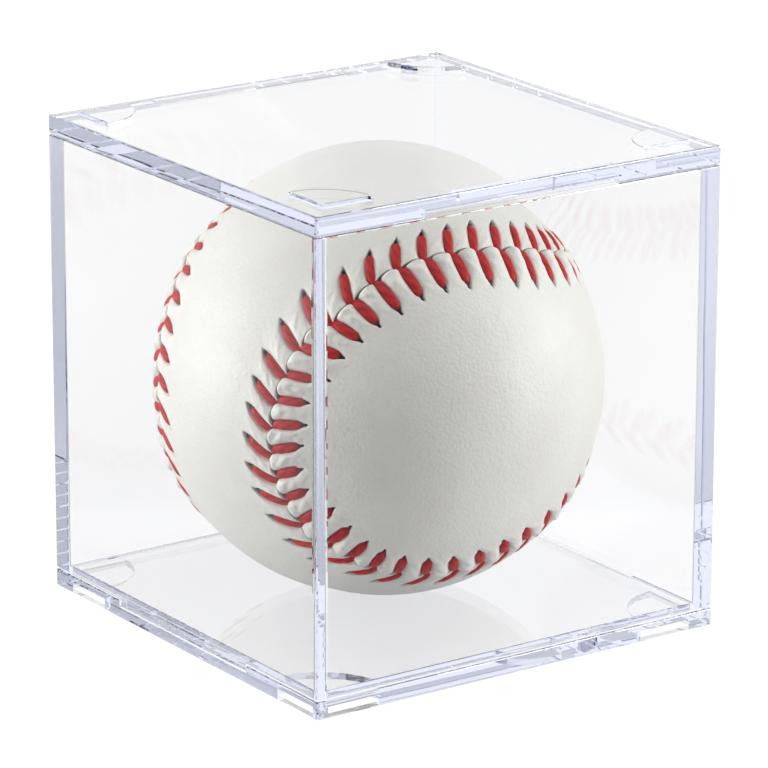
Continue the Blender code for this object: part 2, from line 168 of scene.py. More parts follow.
def srgb(red, green, blue):
    """A colour as a screen shows it, 0 to 255, turned into the linear one that shaders use."""
    shares = [part / 255 for part in (red, green, blue)]
    linear = [c / 12.92 if c <= 0.04045 else ((c + 0.055) / 1.055) ** 2.4 for c in shares]
    return (*linear, 1.0)


def new_material(name, specular=0.5):
    """A material with a Principled BSDF wired to its output."""
    material = bpy.data.materials.new(name)
    material.use_nodes = True
    tree = material.node_tree
    tree.nodes.clear()
    surface = place(tree, "ShaderNodeBsdfPrincipled", {"Specular IOR Level": specular})
    place(tree, "ShaderNodeOutputMaterial", {"Surface": surface.outputs[0]})
    return material, tree, surface


# %% [markdown]
# ## The table top and the light
#
# A white shop picture is made on a lit white table. If the lamps were turned up until the
# paper burned out, they would also bleach the ball. Instead the paper and the world add a
# little of their own brightness, and only to what is seen straight, in a mirror image or
# through plastic. Rays that light the object never meet it, and the paper keeps its shadow.

# %% White for the eye only
LESS_THAN_ONE = 0.5


def seen_rays(tree):
    """1 for rays from the eye, also mirrored or through plastic, and 0 for light's own bounces."""
    path = place(tree, "ShaderNodeLightPath")
    eye = maths(tree, "MAXIMUM", path.outputs["Is Camera Ray"], path.outputs["Is Glossy Ray"])
    eye = maths(tree, "MAXIMUM", eye, path.outputs["Is Transmission Ray"])
    lit = maths(tree, "LESS_THAN", path.outputs["Diffuse Depth"], LESS_THAN_ONE)
    return times(tree, eye, lit)


# %% [markdown]
# The room behind the camera of such a picture is dark. That keeps the front wall free of
# reflections, so the red of the thread stays deep, and it gives the thick edges of the plastic
# their grey. So the paper and the world are dimmed, but only for rays that a face has mirrored:
# once, as in a window pane, or many times, as light is guided inside a wall to its edge. A
# ray's depth, less the faces that it went through, is how often it was mirrored.

# %% Dim room for mirrored rays
TOWARDS_CAMERA = Vector((CAMERA_PLACE.x, CAMERA_PLACE.y, 0.0)).normalized()


def along_view(tree, where):
    """How far a place lies, or a direction points, towards the camera over the table."""
    inputs = {0: where, 1: TOWARDS_CAMERA}
    return place(tree, "ShaderNodeVectorMath", inputs, operation="DOT_PRODUCT").outputs["Value"]


def room_share(tree, mirrored_once, guided, depth_at_start=0.0):
    """1 for rays that no face has mirrored, and the two given shares for the others."""
    path = place(tree, "ShaderNodeLightPath")
    mirrored = maths(tree, "SUBTRACT", path.outputs["Ray Depth"], path.outputs["Transmission Depth"])
    mirrored = maths(tree, "SUBTRACT", mirrored, depth_at_start)
    share = stretch(tree, mirrored, 0.0, 1.0, 1.0, mirrored_once)
    return stretch(tree, mirrored, 1.0, 2.0, share, guided)


# %% [markdown]
# The table is one large sheet of paper just under the case. Rays mirrored once find it dark in
# front of the case, where the room begins, paler behind it, and nearly white right under the
# clear plastic. Rays guided inside a wall find it greyer beside the case. Moulded plastic also
# has a faint haze, which takes a little of the white of the open paper seen through it.

# %% Floor
FLOOR_HALF = 3.0
FLOOR_DROP = 0.0002
PAPER_COLOUR = srgb(236, 236, 236)
PAPER_ROUGHNESS = 0.85
FIBRES_PER_METRE = 900.0
FIBRE_SHADE = 0.99
PAPER_OWN_WHITE = 0.95
PAPER_SEEN_SHADE = 0.20
MIRRORED_FAR, MIRRORED_NEAR = 0.50, 0.08
FAR_PLACE, NEAR_PLACE = -0.12, 0.08
MIRRORED_UNDER = 0.80
UNDER_FADE = 0.002
GUIDED_BESIDE, GUIDED_AWAY = 0.64, 0.97
BESIDE_END, AWAY_START = 0.03, 0.10
HAZE = 0.95
HAZE_START, HAZE_FULL = 0.05, 0.09

floor_mesh = bpy.data.meshes.new("white_table")
corner_signs = ((-1, -1), (1, -1), (1, 1), (-1, 1))
corners = [(x * FLOOR_HALF, y * FLOOR_HALF, -FLOOR_DROP) for x, y in corner_signs]
floor_mesh.from_pydata(corners, [], [(0, 1, 2, 3)])
floor = bpy.data.objects.new("white_table", floor_mesh)
bpy.context.scene.collection.objects.link(floor)

paper, tree, surface = new_material("white_paper", specular=0.2)
spot = own_place(tree)
tone = stretch(tree, noise_at(tree, spot, FIBRES_PER_METRE, 3.0), 0.3, 0.7, FIBRE_SHADE, 1.0)
towards = along_view(tree, spot)
once = stretch(tree, towards, FAR_PLACE, NEAR_PLACE, MIRRORED_FAR, MIRRORED_NEAR)
apart = place(tree, "ShaderNodeSeparateXYZ", {"Vector": spot}).outputs
x_off = maths(tree, "ABSOLUTE", apart["X"])
y_off = maths(tree, "ABSOLUTE", apart["Y"])
from_middle = maths(tree, "MAXIMUM", x_off, y_off)
once = stretch(tree, from_middle, cad_high.x, cad_high.x + UNDER_FADE, MIRRORED_UNDER, once)
off_side = maths(tree, "ABSOLUTE", towards)
guided = stretch(tree, off_side, BESIDE_END, AWAY_START, GUIDED_BESIDE, GUIDED_AWAY)
through = place(tree, "ShaderNodeLightPath").outputs["Transmission Depth"]
open_paper = stretch(tree, off_side, HAZE_START, HAZE_FULL)
hazy = stretch(tree, times(tree, through, open_paper), 0.0, 1.0, 1.0, HAZE)
room = times(tree, room_share(tree, once, guided), hazy)
seen = seen_rays(tree)
kept = stretch(tree, seen, 0.0, 1.0, 1.0, times(tree, room, PAPER_SEEN_SHADE))
lit_paper = blend(tree, 1.0, PAPER_COLOUR, tone, "MULTIPLY")
wire(tree, blend(tree, 1.0, lit_paper, kept, "MULTIPLY"), surface.inputs["Base Color"])
wire(tree, PAPER_ROUGHNESS, surface.inputs["Roughness"])
wire(tree, WHITE, surface.inputs["Emission Color"])
own_white = times(tree, times(tree, seen, PAPER_OWN_WHITE), room)
wire(tree, own_white, surface.inputs["Emission Strength"])
floor_mesh.materials.append(paper)
print("table", 2 * FLOOR_HALF, "m wide")

# %% [markdown]
# Beyond the paper the world carries on the white. It lights the object only a little, and for
# mirrored rays its own white is dimmed towards the camera, like the paper's.

# %% World
WORLD_FILL = 0.06
WORLD_ONCE = 0.92
WORLD_AWAY, WORLD_TOWARDS = 1.22, 0.72
AWAY_SLOPE, TOWARDS_SLOPE = -0.2, 0.4
# a world counts a ray's depth one higher than a surface does
WORLD_DEPTH_AT_START = 1.0

world = bpy.data.worlds.new("white_studio")
world.use_nodes = True
bpy.context.scene.world = world
tree = world.node_tree
tree.nodes.clear()
looked_at = along_view(tree, place(tree, "ShaderNodeTexCoord").outputs["Generated"])
dimmed = stretch(tree, looked_at, AWAY_SLOPE, TOWARDS_SLOPE, WORLD_AWAY, WORLD_TOWARDS)
once = maths(tree, "MINIMUM", dimmed, WORLD_ONCE)
seen_white = room_share(tree, once, dimmed, WORLD_DEPTH_AT_START)
strength = stretch(tree, seen_rays(tree), 0.0, 1.0, WORLD_FILL, seen_white)
background = place(tree, "ShaderNodeBackground", {"Color": WHITE, "Strength": strength})
place(tree, "ShaderNodeOutputWorld", {"Surface": background.outputs[0]})
print("world fill:", WORLD_FILL)

# %% [markdown]
# The lamps are four square softboxes, which give the ball an even white and the table a soft
# shadow. The eye never sees one, not even through the plastic, so no bright squares stand in
# the walls. They show only as a sheen on the leather and the thread.

# %% Lamps
LAMP_AIM = Vector((0.0, 0.0, 0.04))
# degrees round the case from its front, degrees up, metres away, metres wide, watts
LAMPS = {
    "left_rear_softbox": (-120.0, 8.0, 0.80, 0.26, 4.9),
    "left_high_softbox": (-110.0, 50.0, 0.80, 0.45, 1.7),
    "right_softbox": (50.0, 8.0, 0.80, 0.50, 7.2),
    "top_softbox": (0.0, 88.0, 0.80, 0.45, 2.4),
}
for name, (turn_deg, rise_deg, distance, side, power) in LAMPS.items():
    lamp_data = bpy.data.lights.new(name, "AREA")
    lamp_data.shape = "SQUARE"
    lamp_data.size = side
    lamp_data.energy = power
    lamp = bpy.data.objects.new(name, lamp_data)
    turn, rise = math.radians(turn_deg), math.radians(rise_deg)
    away = Vector((math.sin(turn) * math.cos(rise), -math.cos(turn) * math.cos(rise), math.sin(rise)))
    lamp.location = LAMP_AIM + away * distance
    lamp.rotation_euler = away.to_track_quat("Z", "Y").to_euler()
    lamp.visible_camera = False
    lamp.visible_transmission = False
    bpy.context.scene.collection.objects.link(lamp)
print("lamps:", ", ".join(LAMPS))

# %% [markdown]
# Light that enters a clear wall at its edge bounces some 15 times before it leaves at the far
# edge. Too few bounces would turn the edges black.

# %% Picture settings
WALL_BOUNCES = 48
DIFFUSE_BOUNCES = 3

scene = bpy.context.scene
scene.view_settings.view_transform = "Standard"
scene.cycles.max_bounces = WALL_BOUNCES
scene.cycles.glossy_bounces = WALL_BOUNCES
scene.cycles.transmission_bounces = WALL_BOUNCES
scene.cycles.transparent_max_bounces = WALL_BOUNCES
scene.cycles.diffuse_bounces = DIFFUSE_BOUNCES
print("bounces:", WALL_BOUNCES)

# %% [markdown]
# ## Shared effects
#
# Three effects turn up on several finishes, so each is a node group that is built once and
# placed with its own values: slow clouds of tone, fine grain in the surface, and small specks.

# %% Effect groups
FLOAT, COLOUR, VECTOR = "NodeSocketFloat", "NodeSocketColor", "NodeSocketVector"
CLOUDS_START, CLOUDS_FULL = 0.35, 0.70
CELL_DOME, WOBBLE_HEIGHT = -0.8, 0.6
PITS_START, PITS_FULL = 0.45, 0.75
SPECK_FADE = 0.06


def new_group(name, inputs, outputs):
    """An empty shader node group with named sockets, and its two end nodes."""
    group = bpy.data.node_groups.new(name, "ShaderNodeTree")
    for socket_name, kind, value in inputs:
        socket = group.interface.new_socket(socket_name, in_out="INPUT", socket_type=kind)
        if value is not None:
            socket.default_value = value
    for socket_name, kind in outputs:
        group.interface.new_socket(socket_name, in_out="OUTPUT", socket_type=kind)
    return group, place(group, "NodeGroupInput").outputs, place(group, "NodeGroupOutput").inputs


clouds_group, given, made = new_group(
    "tone_clouds",
    [("Place", VECTOR, None), ("Size", FLOAT, 0.01), ("Light", COLOUR, None), ("Dark", COLOUR, None),
     ("Amount", FLOAT, 1.0)],
    [("Color", COLOUR), ("Mask", FLOAT)])
per_metre = maths(clouds_group, "DIVIDE", 1.0, given["Size"])
noise = noise_at(clouds_group, given["Place"], per_metre, 4.0)
mask = times(clouds_group, stretch(clouds_group, noise, CLOUDS_START, CLOUDS_FULL), given["Amount"])
wire(clouds_group, blend(clouds_group, mask, given["Light"], given["Dark"]), made["Color"])
wire(clouds_group, mask, made["Mask"])

grain_group, given, made = new_group(
    "fine_grain",
    [("Place", VECTOR, None), ("Cell", FLOAT, 0.0008), ("Softness", FLOAT, 0.5)],
    [("Height", FLOAT), ("Pits", FLOAT)])
per_metre = maths(grain_group, "DIVIDE", 1.0, given["Cell"])
wobble = noise_at(grain_group, given["Place"], per_metre, 2.0)
cells = place(grain_group, "ShaderNodeTexVoronoi",
              {"Vector": given["Place"], "Scale": per_metre, "Smoothness": given["Softness"]},
              feature="SMOOTH_F1").outputs["Distance"]
domes = times(grain_group, cells, CELL_DOME)
both = maths(grain_group, "ADD", domes, times(grain_group, wobble, WOBBLE_HEIGHT))
wire(grain_group, both, made["Height"])
wire(grain_group, stretch(grain_group, cells, PITS_START, PITS_FULL), made["Pits"])

specks_group, given, made = new_group(
    "specks",
    [("Place", VECTOR, None), ("Spacing", FLOAT, 0.003), ("Share", FLOAT, 0.15)],
    [("Mask", FLOAT)])
per_metre = maths(specks_group, "DIVIDE", 1.0, given["Spacing"])
dots = place(specks_group, "ShaderNodeTexVoronoi", {"Vector": given["Place"], "Scale": per_metre})
edge = maths(specks_group, "SUBTRACT", given["Share"], dots.outputs["Distance"])
wire(specks_group, stretch(specks_group, edge, 0.0, SPECK_FADE), made["Mask"])


def effect(tree, group, **inputs):
    """Places one of the groups above and returns its outputs by name."""
    node = place(tree, "ShaderNodeGroup", node_tree=group)
    for name, value in inputs.items():
        wire(tree, value, node.inputs[name])
    return node.outputs


def bump(tree, height, distance, strength):
    """A normal tilted by a height pattern. The distance is the real height of one unit of it."""
    inputs = {"Height": height, "Distance": distance, "Strength": strength}
    return place(tree, "ShaderNodeBump", inputs).outputs[0]


print("effects:", clouds_group.name, grain_group.name, specks_group.name)

# %% [markdown]
# ## The clear plastic
#
# Such cases are injection moulded in polystyrene or acrylic. The plastic looks colourless
# through its thin walls, but light that runs a long way inside a wall comes out of the edge
# tinted lavender blue, because the maker adds a little blue dye against yellowing. A volume
# absorption inside the glass does just that, by the real length of each path.
#
# Lamps and bounced light go straight through, by a Transparent shader that only they meet, so
# that the ball inside is lit as cleanly as it is in a real box. Handling leaves faint smears,
# and the mould a slow flow in the surface, so no face is a perfect mirror.

# %% Clear plastic
PLASTIC_IOR = 1.49
PLASTIC_TINT = (0.791, 0.812, 0.912, 1.0)
TINT_DENSITY = 17.0
LIGHT_PASSED = (0.955, 0.957, 0.965, 1.0)
SMEAR_SIZES = {"base": 0.018, "wall_sleeve": 0.023, "lid": 0.020}
SMEAR_ROUGHNESS = 0.012
FLOW_PER_METRE = 55.0


def make_clear_plastic(name, smear_size):
    material, tree, surface = new_material(name)
    wire(tree, 1.0, surface.inputs["Transmission Weight"])
    wire(tree, PLASTIC_IOR, surface.inputs["IOR"])
    wire(tree, WHITE, surface.inputs["Base Color"])
    spot = own_place(tree)
    smears = effect(tree, clouds_group, Place=spot, Size=smear_size, Light=BLACK, Dark=WHITE)
    roughness = stretch(tree, smears["Mask"], 0.3, 1.0, 0.0, SMEAR_ROUGHNESS)
    wire(tree, roughness, surface.inputs["Roughness"])
    flow = noise_at(tree, spot, FLOW_PER_METRE, 1.0)
    wire(tree, bump(tree, flow, distance=0.00002, strength=0.5), surface.inputs["Normal"])
    path = place(tree, "ShaderNodeLightPath")
    light = maths(tree, "MAXIMUM", path.outputs["Is Shadow Ray"], path.outputs["Is Diffuse Ray"])
    through = place(tree, "ShaderNodeBsdfTransparent", {"Color": LIGHT_PASSED})
    either = place(tree, "ShaderNodeMixShader", {"Fac": light})
    wire(tree, surface.outputs[0], either.inputs[1])
    wire(tree, through.outputs[0], either.inputs[2])
    inside = place(tree, "ShaderNodeVolumeAbsorption", {"Color": PLASTIC_TINT, "Density": TINT_DENSITY})
    end = next(node for node in tree.nodes if node.type == "OUTPUT_MATERIAL")
    wire(tree, either.outputs[0], end.inputs["Surface"])
    wire(tree, inside.outputs[0], end.inputs["Volume"])
    return material


for node_name, smear_size in SMEAR_SIZES.items():
    plastic = make_clear_plastic(f"{node_name}_clear_plastic", smear_size)
    cad_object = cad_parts[node_name]
    for index in range(len(cad_object.material_slots)):
        cad_object.material_slots[index].material = plastic
    print(node_name, "faces:", len(cad_object.data.polygons))

# %% [markdown]
# ## The seam of a baseball
#
# A baseball's cover is two equal pieces of leather, each shaped like a figure of eight. They
# lock together at right angles, and one closed seam runs between them. The curve below swings
# towards each pole twice on its way round, and a sideways wave narrows the necks. Everything
# else on the ball is placed by its distance along this seam and its distance across it.

# %% Ball sizes
BALL_RADIUS = 0.0370
BALL_REST_GAP = 0.0003
BALL_TURN_DEG = (-94.33, 1.47, 95.23)
SEAM_NECK_DEG = 24.04
SEAM_SWING_DEG = 23.13
SEAM_SAMPLES = 4000
STITCH_COUNT = 86
# how many stitches the first one lies past the start of the seam's curve
STITCH_PHASE = 0.86

base_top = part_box("base")[1].z
ball_centre = Vector((0.0, 0.0, base_top + BALL_REST_GAP + BALL_RADIUS))
ball_turn = Euler([math.radians(turn) for turn in BALL_TURN_DEG], "XYZ").to_matrix()
ball_turn_rows = np.array(ball_turn)
print("ball's centre in mm:", [round(part / MM, 2) for part in ball_centre])


# %% The seam's curve
def unit(vectors):
    return vectors / np.linalg.norm(vectors, axis=-1, keepdims=True)


def seam_direction(turn):
    """Unit vector to the seam at a turn from 0 to 4 pi, in the ball's own frame."""
    neck, swing = math.radians(SEAM_NECK_DEG), math.radians(SEAM_SWING_DEG)
    tilt = math.pi / 2 - (math.pi / 2 - neck) * np.cos(turn)
    sideways = turn / 2 + swing * np.sin(2 * turn)
    level = np.sin(tilt)
    return np.stack([level * np.cos(sideways), level * np.sin(sideways), np.cos(tilt)], axis=-1)


seam_turns = np.linspace(0.0, 4 * math.pi, SEAM_SAMPLES + 1)
seam_steps = np.linalg.norm(np.diff(seam_direction(seam_turns), axis=0), axis=1) * BALL_RADIUS
seam_gone = np.concatenate([[0.0], np.cumsum(seam_steps)])
SEAM_LENGTH = float(seam_gone[-1])
PITCH = SEAM_LENGTH / STITCH_COUNT
print(f"seam {SEAM_LENGTH / MM:.1f} mm long, a stitch every {PITCH / MM:.2f} mm")

# %% Places along and across the seam
TURN_NUDGE = 1e-4


def ball_direction(run, across):
    """Unit vectors to places so far along the seam and so far across it, in metres.

    across is positive on the side of the first panel."""
    turn = np.interp(np.mod(run, SEAM_LENGTH), seam_gone, seam_turns)
    out = seam_direction(turn)
    along = unit(seam_direction(turn + TURN_NUDGE) - seam_direction(turn - TURN_NUDGE))
    sideways = np.cross(out, along)
    angle = (across / BALL_RADIUS)[..., None]
    return out * np.cos(angle) + sideways * np.sin(angle)


def ease(value, start, end):
    """0 before start, 1 after end, and a smooth rise between."""
    share = np.clip((value - start) / (end - start), 0.0, 1.0)
    return share * share * (3 - 2 * share)


def to_world(points):
    """From the ball's own frame to its place in the case."""
    return points @ ball_turn_rows.T + np.array(ball_centre)


# %% [markdown]
# ## How a stitch lies
#
# A stitcher pulls waxed thread through a hole about 5 mm from the edge of one panel, down
# through the gap, and out through a hole in the other panel. So each stitch shows two legs that
# slant away from the seam. The tight thread presses a groove into the leather, and the leather
# between two grooves swells up like a fingertip.
#
# No two stitches are quite the same, so each gets a small change in slant, reach and width from
# a seeded draw. A hand-sewn seam also drifts over several stitches at a time. Smooth hills along
# the seam follow the drift that the photograph shows.

# %% Random change from stitch to stitch
SEED = 11
WIDTH_SCATTER = 0.05
TONGUE_SCATTER = 0.12
WAVES_PER_TONGUE = 3
SIDES = {"one": 1.0, "two": -1.0}

draw = np.random.default_rng(SEED)
stitch_width = {panel: 1 + draw.normal(0.0, WIDTH_SCATTER, STITCH_COUNT) for panel in SIDES}
tongue_scale = {panel: 1 + draw.normal(0.0, TONGUE_SCATTER, STITCH_COUNT) for panel in SIDES}
pucker_phase = {panel: draw.uniform(0.0, 2 * math.pi, (WAVES_PER_TONGUE, STITCH_COUNT))
                for panel in SIDES}
print("widest stitch:", round(max(width.max() for width in stitch_width.values()), 2))

# %% Slow drift along the seam
# each hill: millimetres high, the stitch it peaks at, and how many stitches it spreads over
WANDER_HILLS = ((1.30, 55.5, 4.7), (-0.85, 47.6, 1.5), (0.60, 38.0, 3.5))
SLIP_HILLS = {"one": ((0.80, 35.0, 1.8), (0.57, 39.8, 1.2), (-1.18, 45.0, 2.2), (-0.50, 41.8, 2.2)),
              "two": ((0.80, 35.0, 1.8), (0.57, 39.8, 1.2), (-1.18, 45.0, 2.2))}
REACH = {"one": 5.7, "two": 5.3}
REACH_HILLS = {"one": ((2.0, 55.0, 3.2), (-0.35, 42.3, 1.3), (0.5, 39.2, 1.6)),
               "two": ((1.7, 48.6, 2.2), (1.15, 53.8, 3.4), (0.5, 42.7, 0.9), (-0.9, 40.2, 0.8))}
LEAN = {"one": 2.75, "two": 1.3}
LEAN_HILLS = {"one": ((-1.1, 52.5, 2.6), (0.5, 41.8, 2.2), (0.7, 40.0, 1.2), (0.35, 48.3, 0.9),
                      (0.9, 56.5, 1.3)),
              "two": ((-1.0, 47.7, 1.6), (-0.4, 53.0, 1.6), (-1.1, 56.5, 2.4), (-1.1, 40.7, 0.8))}
SLIP_SCATTER, REACH_SCATTER, LEAN_SCATTER = 0.0, 0.10, 0.12


def hills_at(stitch, hills):
    """The height of all hills together, each gone about two spreads away from its peak."""
    return sum(height * np.exp(-((stitch - peak) / spread) ** 2) for height, peak, spread in hills)


def seam_wander(stitch):
    """How far the seam lies from its ideal curve, towards the first panel."""
    return hills_at(stitch, WANDER_HILLS) * MM


def hand_sewn(middle, hills, scatter):
    """A value for each stitch: the middle one, the hills, and a small random draw."""
    drift = hills_at(np.arange(STITCH_COUNT), hills)
    return (middle + drift + draw.normal(0.0, scatter, STITCH_COUNT)) * MM


stitch_slip = {panel: hand_sewn(0.0, SLIP_HILLS[panel], SLIP_SCATTER) for panel in SIDES}
stitch_tip = {panel: hand_sewn(REACH[panel], REACH_HILLS[panel], REACH_SCATTER) for panel in SIDES}
stitch_lean = {panel: hand_sewn(LEAN[panel], LEAN_HILLS[panel], LEAN_SCATTER) for panel in SIDES}
print("mean reach in mm:", {panel: round(tips.mean() / MM, 2) for panel, tips in stitch_tip.items()})

# %% The course of a leg
# where a leg leaves the seam, how its slant bends, and the share of it that is the needle hole
ROOT_SHIFT = {"one": -0.00040, "two": 0.00040}
LEAN_CURVE = {"one": 1.25, "two": 1.15}
HOLE_SHARE = {"one": 0.17, "two": 0.19}


def between_stitches(values, stitch_place):
    """A value of each stitch, blended smoothly from one stitch to the next."""
    whole = np.floor(stitch_place).astype(int)
    share = ease(stitch_place - whole, 0.0, 1.0)
    return values[whole % STITCH_COUNT] * (1 - share) + values[(whole + 1) % STITCH_COUNT] * share


def leg_lean(panel, share_out, stitch_place):
    """How far along the seam a leg has moved, at a share of the way to the end of its hole."""
    slip = between_stitches(stitch_slip[panel], stitch_place)
    return slip + between_stitches(stitch_lean[panel], stitch_place) * share_out ** LEAN_CURVE[panel]


# %% [markdown]
# ## The leather panels
#
# Each panel is one closed mesh. A fine band follows the seam, with its rows slanted like the
# legs, so that grooves and needle holes fall on whole rows of faces. A bump map could draw the
# grooves, but it wouldn't shade them or change the outline, so here they are real.

# %% Rows and columns of the band
ROWS_PER_STITCH = 22
ROW_COUNT = STITCH_COUNT * ROWS_PER_STITCH
ROW_STEP = SEAM_LENGTH / ROW_COUNT
# from and to, in millimetres across the seam, and how many columns between
COLUMN_RUNS = ((0.0, 0.8, 7), (0.8, 4.0, 9), (4.0, 8.0, 18), (8.0, 9.5, 3))
# the slant of the rows evens out over the last columns
SETTLE_START = 0.0080

column_places = [np.linspace(start, end, count, endpoint=False) for start, end, count in COLUMN_RUNS]
BAND_COLUMNS = np.concatenate([*column_places, [COLUMN_RUNS[-1][1]]]) * MM
BAND_WIDTH = float(BAND_COLUMNS[-1])
band_rows = np.arange(ROW_COUNT)
band_stitch = (band_rows / ROWS_PER_STITCH)[:, None]
band_across = np.broadcast_to(BAND_COLUMNS[None, :], (ROW_COUNT, len(BAND_COLUMNS)))
band_tongue = np.broadcast_to(band_rows[:, None] // ROWS_PER_STITCH, band_across.shape)
print("band:", ROW_COUNT, "rows of", len(BAND_COLUMNS), "points")

# %% [markdown]
# The seam isn't smooth: the second panel's swollen tongues push into the first panel, so its
# edge is scalloped, and deeper so on the stretch that faces the camera. The distance from a
# leg is measured over the ball itself, because rows crowd where the band bends and slant where
# the legs do.

# %% Scalloped edge and distance to a leg
SEAM_GAP = 0.00008
SCALLOP = 0.00045
DEEP_SCALLOP = 0.00045
DEEP_FROM, DEEP_TO = (35.0, 38.0), (45.0, 48.0)
SCALLOP_POWER = 0.6
RUN_NUDGE = 0.0001


def scalloped_places(panel, start):
    """How far each point of the band lies across the seam's ideal curve."""
    from_root = (start + band_rows * ROW_STEP - STITCH_PHASE * PITCH - ROOT_SHIFT["two"]) / PITCH
    deep = ease(band_stitch, *DEEP_FROM) - ease(band_stitch, *DEEP_TO)
    waves = np.abs(np.sin(math.pi * from_root))[:, None] ** SCALLOP_POWER
    scallop = (SCALLOP + DEEP_SCALLOP * deep) * waves + seam_wander(band_stitch)
    return SIDES[panel] * (SEAM_GAP / 2 + band_across) + scallop * (1 - band_across / BAND_WIDTH)


def distance_to_leg(run, sideways, lean):
    """The distance to the nearest leg's middle line, and half the distance between two legs."""
    spread = ball_direction(run + RUN_NUDGE, sideways) - ball_direction(run - RUN_NUDGE, sideways)
    crowding = np.linalg.norm(spread, axis=-1) * BALL_RADIUS / (2 * RUN_NUDGE)
    slant = np.gradient(lean, BAND_COLUMNS, axis=1)
    square = 1 / np.sqrt(1 + slant ** 2)
    half_rows = ROWS_PER_STITCH // 2
    rows_off = (band_rows + half_rows) % ROWS_PER_STITCH - half_rows
    return rows_off[:, None] * ROW_STEP * crowding * square, PITCH / 2 * crowding * square


# %% [markdown]
# The relief is a height over the plain ball. Grooves and needle holes go down under each leg,
# the tongues between them swell up and carry small wrinkles, and the cut edge rolls down into
# the seam.

# %% Relief of the leather
GROOVE_DEPTH = 0.00054
GROOVE_ROUNDNESS = 3
HOLE_DEPTH = 0.00100
TONGUE_HEIGHT = {"one": 0.00038, "two": 0.00070}
TONGUE_ROUNDNESS = 2.4
TONGUE_FADE = (0.0012, 0.0070)
EDGE_ROLL = {"one": 0.00022, "two": 0.00060}
PUCKER_LENGTH = 0.0017
# the wrinkles' height, as a share of their tongue's
PUCKER_SHARE = 0.11667
PUCKER_BEND, PUCKER_BEND_RATE = 2.0, 2.4
PUCKER_ALONG, PUCKER_ACROSS = 0.8, -0.5
LEAST_WIDTH = 1e-5


def groove_half_width(panel, share_out):
    """Half the width of the groove under a leg. The share runs from the seam to the hole's end."""
    red_end = 1 - HOLE_SHARE[panel]
    shares = (0.0, 0.12, 0.35, 0.72 * red_end, 0.92 * red_end, red_end + 0.02, red_end + 0.07, 0.93, 1.0)
    widths = {"one": (0.62, 0.70, 0.80, 0.80, 0.72, 0.44, 0.27, 0.22, 0.12),
              "two": (0.70, 0.80, 0.88, 0.88, 0.80, 0.48, 0.30, 0.24, 0.12)}[panel]
    return np.interp(share_out, shares, widths) * MM


def groove_depth(panel, share_out):
    """The groove's depth at its middle line: even under the thread, and deep in the hole."""
    red_end = 1 - HOLE_SHARE[panel]
    shares = (0.0, 0.88 * red_end, red_end, red_end + 0.05, 0.96, 1.0)
    depths = (GROOVE_DEPTH, GROOVE_DEPTH, 0.8 * HOLE_DEPTH, HOLE_DEPTH, 0.9 * HOLE_DEPTH, 0.0)
    return np.interp(share_out, shares, depths)


def puckers(panel, along):
    """Small wrinkles on the swollen leather between two stitches."""
    first, second, third = (phase[band_tongue] for phase in pucker_phase[panel])
    bend = PUCKER_BEND * np.sin(PUCKER_BEND_RATE * along / PUCKER_LENGTH + second)
    waves = np.sin(2 * math.pi * band_across / PUCKER_LENGTH + first + bend)
    slanted = PUCKER_ALONG * along + PUCKER_ACROSS * band_across
    waves = waves + np.sin(2 * math.pi * slanted / PUCKER_LENGTH + third)
    return PUCKER_SHARE * waves


def leather_relief(panel, distance, half_width, half_pitch, share_out):
    """Height over the plain ball, and how deep each point lies in a groove or hole, 0 to 1."""
    beyond = np.abs(distance)
    depth = groove_depth(panel, share_out)
    dip = np.sqrt(np.clip(1 - (beyond / half_width) ** GROOVE_ROUNDNESS, 0.0, 1.0))
    swell = TONGUE_HEIGHT[panel] * (1 - ease(band_across, *TONGUE_FADE))
    tongue_width = np.maximum(half_pitch - half_width, LEAST_WIDTH)
    off_middle = np.clip((half_pitch - beyond) / tongue_width, 0.0, 1.0)
    wrinkled = tongue_scale[panel][band_tongue] + puckers(panel, distance)
    tongue = swell * (1 - off_middle ** TONGUE_ROUNDNESS) * wrinkled
    rolled = np.clip(1 - band_across / EDGE_ROLL[panel], 0.0, 1.0)
    roll = EDGE_ROLL[panel] * (1 - np.sqrt(1 - rolled ** 2))
    return tongue - depth * dip - roll, dip * np.clip(depth / HOLE_DEPTH, 0.0, 1.0)


# %% [markdown]
# Two marks are stored at the points of the mesh, and the material reads them: a painted shade,
# with a little dirt, deep in a needle hole and in the crack of the seam, and how much red the
# thread rubbed off.

# %% Marks on the leather
CRACK_SHADE = 0.35
CRACK_WIDTH = 0.00010
HOLE_SHADE = 1.6
STAIN_WIDTH = 0.00022


def leather_marks(panel, distance, half_width, share_out, hole_depth_share):
    red_end = 1 - HOLE_SHARE[panel]
    # painted shade, with a little dirt, deep in the needle holes and along the seam's crack
    crack = ease(-band_across, -CRACK_WIDTH, 0.0)
    needle = np.clip(HOLE_SHADE * hole_depth_share, 0.0, 1.0) * ease(share_out, red_end - 0.05, red_end + 0.03)
    shade = np.maximum(needle, CRACK_SHADE * crack)
    beside_leg = np.abs(distance) - half_width
    stain = np.exp(-(beside_leg / STAIN_WIDTH) ** 2)
    stain = stain * ease(share_out, 0.02, 0.2) * (1 - ease(share_out, red_end, 1.0))
    return shade, stain


# %% [markdown]
# Inside the band, arcs of great circles join each point of the rim to its mirror point across
# the panel. A second, plain surface 1.25 mm below closes the hide, as on real leather.

# %% Fill a panel and make its mesh
LEATHER_THICKNESS = 0.00125
INNER_COLUMNS = 14
LINING_COLUMNS = 6
LEAST_SINE = 1e-9


def arc_points(start, end, columns):
    """Points strictly between start and end on great circles. Shape (rows, columns - 1, 3)."""
    span = np.arccos(np.clip((start * end).sum(-1), -1.0, 1.0))[:, None, None]
    share = (np.arange(1, columns) / columns)[None, :, None]
    sine = np.maximum(np.sin(span), LEAST_SINE)
    mixed = start[:, None] * np.sin((1 - share) * span) + end[:, None] * np.sin(share * span)
    return unit(mixed / sine)


